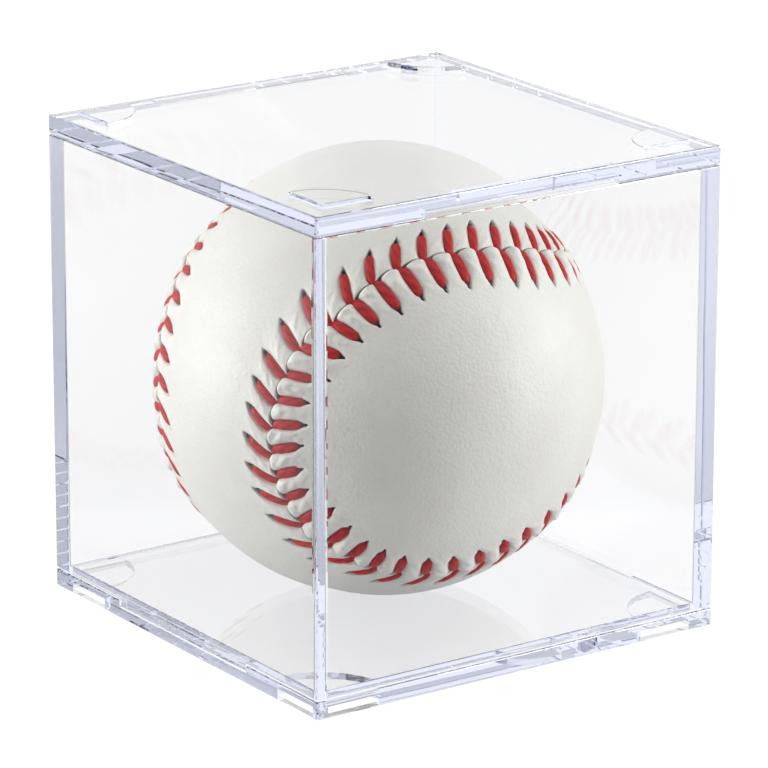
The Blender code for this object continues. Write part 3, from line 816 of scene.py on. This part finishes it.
def bridge_faces(rim, partner, first_row, inside_start, columns):
    """Faces that close a panel between its rim and the mirrored rim."""
    half = ROW_COUNT // 2
    grid = np.empty((half + 1, columns + 1), dtype=int)
    rows = (first_row + np.arange(half + 1)) % ROW_COUNT
    grid[:, 0] = rim[rows]
    grid[:, columns] = rim[partner(rows)]
    inside = inside_start + np.arange((half - 1) * (columns - 1)).reshape(half - 1, columns - 1)
    grid[1:half, 1:columns] = inside
    faces = []
    for row in range(half):
        here, there = grid[row], grid[row + 1]
        if row == 0:
            faces += [(here[0], there[c], there[c + 1]) for c in range(columns)]
        elif row == half - 1:
            faces += [(here[c], there[0], here[c + 1]) for c in range(columns)]
        else:
            faces += [(here[c], there[c], there[c + 1], here[c + 1]) for c in range(columns)]
    return faces


def make_piece(name, points, faces, marks):
    """A smooth mesh object, with a number or a place for each mark at every point."""
    mesh = bpy.data.meshes.new(name)
    mesh.from_pydata(points.tolist(), [], [tuple(int(v) for v in face) for face in faces])
    mesh.validate()
    for mark, values in marks.items():
        if values.ndim == 1:
            store = mesh.attributes.new(mark, "FLOAT", "POINT")
            store.data.foreach_set("value", values.astype(np.float32))
        else:
            store = mesh.attributes.new(mark, "FLOAT_VECTOR", "POINT")
            store.data.foreach_set("vector", values.astype(np.float32).ravel())
    work = bmesh.new()
    work.from_mesh(mesh)
    bmesh.ops.recalc_face_normals(work, faces=work.faces)
    work.to_mesh(mesh)
    work.free()
    mesh.shade_smooth()
    piece = bpy.data.objects.new(name, mesh)
    bpy.context.scene.collection.objects.link(piece)
    print(name, "faces:", len(mesh.polygons))
    return piece


# %% [markdown]
# Now the panel itself. A point of the rim and its mirror point lie on two rows whose numbers
# add up to a fixed sum, because the panel is the same on both sides of its middle line.

# %% Build both panels
def build_panel(panel):
    start = STITCH_PHASE * PITCH + ROOT_SHIFT[panel]
    steps_to_rim = round((start + stitch_lean[panel].mean()) / ROW_STEP)
    rim_lean = steps_to_rim * ROW_STEP - start
    share_out = band_across / between_stitches(stitch_tip[panel], band_stitch)
    lean = leg_lean(panel, np.minimum(share_out, 1.0), band_stitch)
    settle = ease(band_across, SETTLE_START, BAND_WIDTH)
    run = start + (band_rows * ROW_STEP)[:, None] + lean * (1 - settle) + rim_lean * settle
    sideways = scalloped_places(panel, start)
    directions = ball_direction(run, sideways)

    distance, half_pitch = distance_to_leg(run, sideways, lean)
    width_scale = between_stitches(stitch_width[panel], band_stitch)
    half_width = groove_half_width(panel, share_out) * width_scale
    relief, hole_depth_share = leather_relief(panel, distance, half_width, half_pitch, share_out)
    shade, stain = leather_marks(panel, distance, half_width, share_out, hole_depth_share)

    outer = directions * (BALL_RADIUS + relief)[..., None]
    lip, rim = directions[:, 0], directions[:, -1]
    first_row = -ROW_COUNT // 4 - steps_to_rim if panel == "one" else -steps_to_rim
    turn_back = ROW_COUNT // 2 if panel == "one" else 0

    def partner(index):
        return (turn_back - 2 * steps_to_rim - index) % ROW_COUNT

    picked = (first_row + np.arange(1, ROW_COUNT // 2)) % ROW_COUNT
    middle = arc_points(rim[picked], rim[partner(picked)], INNER_COLUMNS)
    lining = arc_points(lip[picked], lip[partner(picked)], LINING_COLUMNS)
    inner_radius = BALL_RADIUS - LEATHER_THICKNESS
    parts = [outer.reshape(-1, 3), middle.reshape(-1, 3) * BALL_RADIUS, lip * inner_radius,
             lining.reshape(-1, 3) * inner_radius]
    points = np.concatenate(parts)
    starts = np.cumsum([0] + [len(part) for part in parts])

    columns = len(BAND_COLUMNS)
    band = band_rows[:, None] * columns + np.arange(columns)[None, :]
    after = np.roll(band, -1, axis=0)
    quads = np.stack([band[:, :-1], after[:, :-1], after[:, 1:], band[:, 1:]], axis=-1)
    faces = [tuple(quad) for quad in quads.reshape(-1, 4)]
    faces += bridge_faces(band[:, -1], partner, first_row, starts[1], INNER_COLUMNS)
    lining_rim = starts[2] + band_rows
    faces += bridge_faces(lining_rim, partner, first_row, starts[3], LINING_COLUMNS)
    walls = np.stack([band[:, 0], after[:, 0], np.roll(lining_rim, -1), lining_rim], axis=-1)
    faces += [tuple(quad) for quad in walls]

    blank = np.zeros(len(points) - band.size)
    marks = {"needle_shade": np.concatenate([shade.ravel(), blank]),
             "thread_stain": np.concatenate([stain.ravel(), blank])}
    return make_piece(f"leather_panel_{panel}", to_world(points), faces, marks)


panels = {panel: build_panel(panel) for panel in SIDES}

# %% [markdown]
# ## The thread
#
# The thread is flat and waxed. Each stitch is one tube that comes up through a hole in the
# first panel, swells as it lies in its groove, dips through the seam, and dives into the hole
# of the second panel.

# %% Path of one stitch
LEG_SECTIONS = 22
# along a leg, from the seam to past the hole: heights and half sizes in millimetres
LEG_SHARES = (0.0, 0.10, 0.30, 0.60, 0.82, 0.93, 1.02, 1.08)
LEG_HEIGHTS = (-0.36, -0.22, -0.08, -0.06, -0.10, -0.24, -0.58, -0.95)
LEG_HALF_WIDTHS = {"one": (0.50, 0.64, 0.74, 0.74, 0.68, 0.58, 0.38, 0.20),
                   "two": (0.60, 0.74, 0.82, 0.82, 0.76, 0.64, 0.42, 0.20)}
LEG_HALF_HEIGHTS = (0.34, 0.40, 0.46, 0.46, 0.40, 0.30, 0.20, 0.16)
ROOT_END = 0.12
# where the end of a leg is painted dark in its hole: shade with a little dirt
HOLE_DARK_FROM, HOLE_DARK_FULL = 0.88, 1.03


def stitch_path(stitch):
    """Points, half widths, half heights and shade along a stitch, from hole to hole."""
    shares = np.linspace(0.0, LEG_SHARES[-1], LEG_SECTIONS)
    legs = []
    for panel, out_shares in (("one", shares[::-1]), ("two", shares[1:])):
        share_out = out_shares * (1 - HOLE_SHARE[panel])
        root = ROOT_SHIFT[panel] * ease(out_shares, 0.0, ROOT_END)
        stitch_place = np.full(len(out_shares), float(stitch))
        run = (stitch + STITCH_PHASE) * PITCH + root + leg_lean(panel, share_out, stitch_place)
        across = share_out * stitch_tip[panel][stitch]
        wander = seam_wander(stitch_place) * (1 - across / BAND_WIDTH)
        directions = ball_direction(run, SIDES[panel] * across + wander)
        height = np.interp(out_shares, LEG_SHARES, LEG_HEIGHTS) * MM
        half_width = np.interp(out_shares, LEG_SHARES, LEG_HALF_WIDTHS[panel]) * MM
        legs.append((directions * (BALL_RADIUS + height)[:, None],
                     half_width * stitch_width[panel][stitch],
                     np.interp(out_shares, LEG_SHARES, LEG_HALF_HEIGHTS) * MM,
                     ease(out_shares, HOLE_DARK_FROM, HOLE_DARK_FULL)))
    return [np.concatenate(part) for part in zip(*legs)]


# %% [markdown]
# A flat ring of points stands square to the path at each of its points, and faces join the
# rings. Every point also keeps its place in a straight thread, so that the twist and the fuzz
# follow the thread round each bend.

# %% Build the stitches
RING_POINTS = 16
# how far the pattern moves on from stitch to stitch, in millimetres of thread
PATTERN_SHIFT = 13.7


def build_thread():
    all_points, all_faces, places, ends = [], [], [], []
    angles = np.linspace(0.0, 2 * math.pi, RING_POINTS, endpoint=False)
    for stitch in range(STITCH_COUNT):
        path, half_widths, half_heights, dark = stitch_path(stitch)
        ahead = unit(np.gradient(path, axis=0))
        across = unit(np.cross(unit(path), ahead))
        up = np.cross(ahead, across)
        rings = (path[:, None] + across[:, None] * (half_widths[:, None] * np.cos(angles))[..., None]
                 + up[:, None] * (half_heights[:, None] * np.sin(angles))[..., None])
        steps = np.linalg.norm(np.diff(path, axis=0), axis=1)
        gone = np.concatenate([[0.0], np.cumsum(steps)]) / MM + stitch * PATTERN_SHIFT
        straight = np.broadcast_arrays(gone[:, None], np.cos(angles)[None, :], np.sin(angles)[None, :])
        begin = stitch * len(path) * RING_POINTS
        index = begin + np.arange(len(path) * RING_POINTS).reshape(len(path), RING_POINTS)
        around = np.roll(index, -1, axis=1)
        quads = np.stack([index[:-1], around[:-1], around[1:], index[1:]], axis=-1)
        all_faces += [tuple(quad) for quad in quads.reshape(-1, 4)]
        all_faces += [tuple(index[0][::-1]), tuple(index[-1])]
        all_points.append(rings.reshape(-1, 3))
        places.append(np.stack(straight, axis=-1).reshape(-1, 3))
        ends.append(np.repeat(dark, RING_POINTS))
    marks = {"thread_place": np.concatenate(places), "needle_shade": np.concatenate(ends)}
    return make_piece("stitched_thread", to_world(np.concatenate(all_points)), all_faces, marks)


thread = build_thread()

# %% [markdown]
# ## Leather and thread finishes
#
# The cover is white tanned horsehide or cowhide with a very fine grain and a soft sheen. The
# seam and the needle holes are painted dark brown, partly as shade and partly as a little dirt,
# and the wax rubs some red off on the leather next to each leg.

# %% Leather
LEATHER_LIGHT = srgb(240, 239, 231)
LEATHER_DARK = srgb(231, 229, 219)
PIT_GREY = srgb(205, 200, 190)
PORE_BROWN = srgb(150, 138, 124)
HOLE_SHADOW_BROWN = srgb(48, 35, 31)
STAIN_PINK = srgb(226, 176, 168)
PIT_SHARE, PORE_SHARE, STAIN_SHARE = 0.10, 0.35, 0.42
CREASES_PER_METRE, CREASE_HEIGHT = 260.0, 1.6


def mark_at(tree, name):
    """Reads a number that the mesh stores at its points."""
    return place(tree, "ShaderNodeAttribute", attribute_name=name).outputs["Fac"]


leather, tree, surface = new_material("white_leather", specular=0.42)
spot = own_place(tree)
clouds = effect(tree, clouds_group, Place=spot, Size=0.012, Light=LEATHER_LIGHT, Dark=LEATHER_DARK,
                Amount=0.7)
grain = effect(tree, grain_group, Place=spot, Cell=0.00056, Softness=0.4)
pores = effect(tree, specks_group, Place=spot, Spacing=0.0052, Share=0.022)
colour = blend(tree, times(tree, grain["Pits"], PIT_SHARE), clouds["Color"], PIT_GREY)
colour = blend(tree, times(tree, pores["Mask"], PORE_SHARE), colour, PORE_BROWN)
colour = blend(tree, times(tree, mark_at(tree, "thread_stain"), STAIN_SHARE), colour, STAIN_PINK)
# the needle holes and the seam's crack: painted shade with a little dirt
colour = blend(tree, mark_at(tree, "needle_shade"), colour, HOLE_SHADOW_BROWN)
wire(tree, colour, surface.inputs["Base Color"])
wire(tree, stretch(tree, clouds["Mask"], 0.0, 1.0, 0.46, 0.58), surface.inputs["Roughness"])
creases = times(tree, noise_at(tree, spot, CREASES_PER_METRE, 4.0), CREASE_HEIGHT)
relief = maths(tree, "ADD", grain["Height"], creases)
wire(tree, bump(tree, relief, distance=0.00008, strength=0.75), surface.inputs["Normal"])
print("made", leather.name)

# %% [markdown]
# The thread is twisted from a few plies, and wax fills most of the twist. Stripes that wind
# round the straight thread give the plies, as painted shade between them, and soft noise gives
# the wax its uneven red.

# %% Thread
THREAD_RED = srgb(195, 29, 31)
THREAD_DEEP = srgb(148, 16, 23)
PLIES = 3.0
TWIST_PER_MM = 2.6
FUZZ_PER_MM = 3.2
FUZZ_SHARE = 0.5
HOLE_SHADE_AND_DIRT = 0.85

waxed_thread, tree, surface = new_material("red_waxed_thread", specular=0.20)
straight = place(tree, "ShaderNodeAttribute", attribute_name="thread_place").outputs["Vector"]
parts = place(tree, "ShaderNodeSeparateXYZ", {"Vector": straight}).outputs
angle = maths(tree, "ARCTAN2", parts["Z"], parts["Y"])
wound = times(tree, parts["X"], TWIST_PER_MM)
twist = maths(tree, "ADD", times(tree, angle, PLIES), wound)
ply = maths(tree, "ABSOLUTE", maths(tree, "COSINE", times(tree, twist, 0.5)))
fuzz = noise_at(tree, straight, FUZZ_PER_MM, 4.0)
soft = times(tree, fuzz, FUZZ_SHARE)
tone = maths(tree, "ADD", times(tree, ply, 1 - FUZZ_SHARE), soft)
# the red is painted deeper between the plies as shade, and unevenly as wax
colour = blend(tree, stretch(tree, tone, 0.15, 0.75), THREAD_DEEP, THREAD_RED)
# the ends of the thread in the holes: painted shade with a little dirt
colour = blend(tree, times(tree, mark_at(tree, "needle_shade"), HOLE_SHADE_AND_DIRT), colour, HOLE_SHADOW_BROWN)
wire(tree, colour, surface.inputs["Base Color"])
wire(tree, stretch(tree, fuzz, 0.3, 0.7, 0.42, 0.6), surface.inputs["Roughness"])
relief = maths(tree, "ADD", ply, soft)
wire(tree, bump(tree, relief, distance=0.00006, strength=0.5), surface.inputs["Normal"])
print("made", waxed_thread.name)

# %% [markdown]
# The three new pieces ride on the ball's body and take the place of the CAD's panels and seam.

# %% Dress the ball
for panel, node_name in (("one", "cover_panel_one"), ("two", "cover_panel_two")):
    piece = panels[panel]
    piece.data.materials.append(leather)
    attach(piece, "ball")
    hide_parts(node_name)
thread.data.materials.append(waxed_thread)
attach(thread, "ball")
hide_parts("seam_thread")
print("dressed pieces:", len(panels) + 1)

# %% [markdown]
# ## Inside the ball
#
# None of this shows in the picture, but the parts are there, so they get their own finishes:
# wound wool yarn, a red rubber jacket, two black rubber cups, and granular cork.


# %% Rubber
def make_rubber(name, light, dark, roughness):
    material, tree, surface = new_material(name, specular=0.35)
    spot = own_place(tree)
    clouds = effect(tree, clouds_group, Place=spot, Size=0.006, Light=light, Dark=dark)
    grain = effect(tree, grain_group, Place=spot, Cell=0.0004, Softness=0.6)
    wire(tree, clouds["Color"], surface.inputs["Base Color"])
    rough = stretch(tree, clouds["Mask"], 0.0, 1.0, roughness, roughness + 0.15)
    wire(tree, rough, surface.inputs["Roughness"])
    wire(tree, bump(tree, grain["Height"], distance=0.00004, strength=0.4), surface.inputs["Normal"])
    return material


red_rubber = make_rubber("red_rubber", srgb(164, 52, 44), srgb(128, 36, 32), 0.5)
black_rubber = make_rubber("black_rubber", srgb(44, 43, 43), srgb(26, 25, 26), 0.55)

# %% Cork
CORK_LIGHT, CORK_DARK = srgb(196, 148, 98), srgb(158, 108, 66)
BARK_BROWN = srgb(96, 60, 38)

cork, tree, surface = new_material("pressed_cork", specular=0.25)
spot = own_place(tree)
clouds = effect(tree, clouds_group, Place=spot, Size=0.002, Light=CORK_LIGHT, Dark=CORK_DARK)
bark = effect(tree, specks_group, Place=spot, Spacing=0.0016, Share=0.30)
grain = effect(tree, grain_group, Place=spot, Cell=0.0010, Softness=0.2)
wire(tree, blend(tree, bark["Mask"], clouds["Color"], BARK_BROWN), surface.inputs["Base Color"])
wire(tree, 0.8, surface.inputs["Roughness"])
wire(tree, bump(tree, grain["Height"], distance=0.00025, strength=0.7), surface.inputs["Normal"])

# %% Wound yarn
WOOL_LIGHT, WOOL_DARK = srgb(206, 202, 194), srgb(168, 166, 162)
WOOL_SHADOW = srgb(120, 116, 110)
SECOND_WRAP_TURN = (0.6, 0.9, 0.3)

yarn, tree, surface = new_material("wound_wool_yarn", specular=0.2)
spot = own_place(tree)
turned = place(tree, "ShaderNodeMapping", {"Vector": spot, "Rotation": SECOND_WRAP_TURN}).outputs[0]
first_wraps = place(tree, "ShaderNodeTexWave", {"Vector": spot, "Scale": 260.0, "Distortion": 2.5})
second_wraps = place(tree, "ShaderNodeTexWave", {"Vector": turned, "Scale": 240.0, "Distortion": 3.0})
wraps = maths(tree, "MAXIMUM", first_wraps.outputs["Fac"], second_wraps.outputs["Fac"])
clouds = effect(tree, clouds_group, Place=spot, Size=0.004, Light=WOOL_LIGHT, Dark=WOOL_DARK)
colour = blend(tree, stretch(tree, wraps, 0.2, 0.9), WOOL_SHADOW, clouds["Color"])
wire(tree, colour, surface.inputs["Base Color"])
wire(tree, 0.9, surface.inputs["Roughness"])
wire(tree, bump(tree, wraps, distance=0.0003, strength=0.8), surface.inputs["Normal"])

# %% Finish the hidden layers
HIDDEN = {"yarn_winding": yarn, "rubber_jacket": red_rubber, "rubber_ring": red_rubber,
          "rubber_cup_upper": black_rubber, "rubber_cup_lower": black_rubber, "cork_center": cork}
for node_name, material in HIDDEN.items():
    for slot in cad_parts[node_name].material_slots:
        slot.material = material
print("hidden layers:", len(HIDDEN))
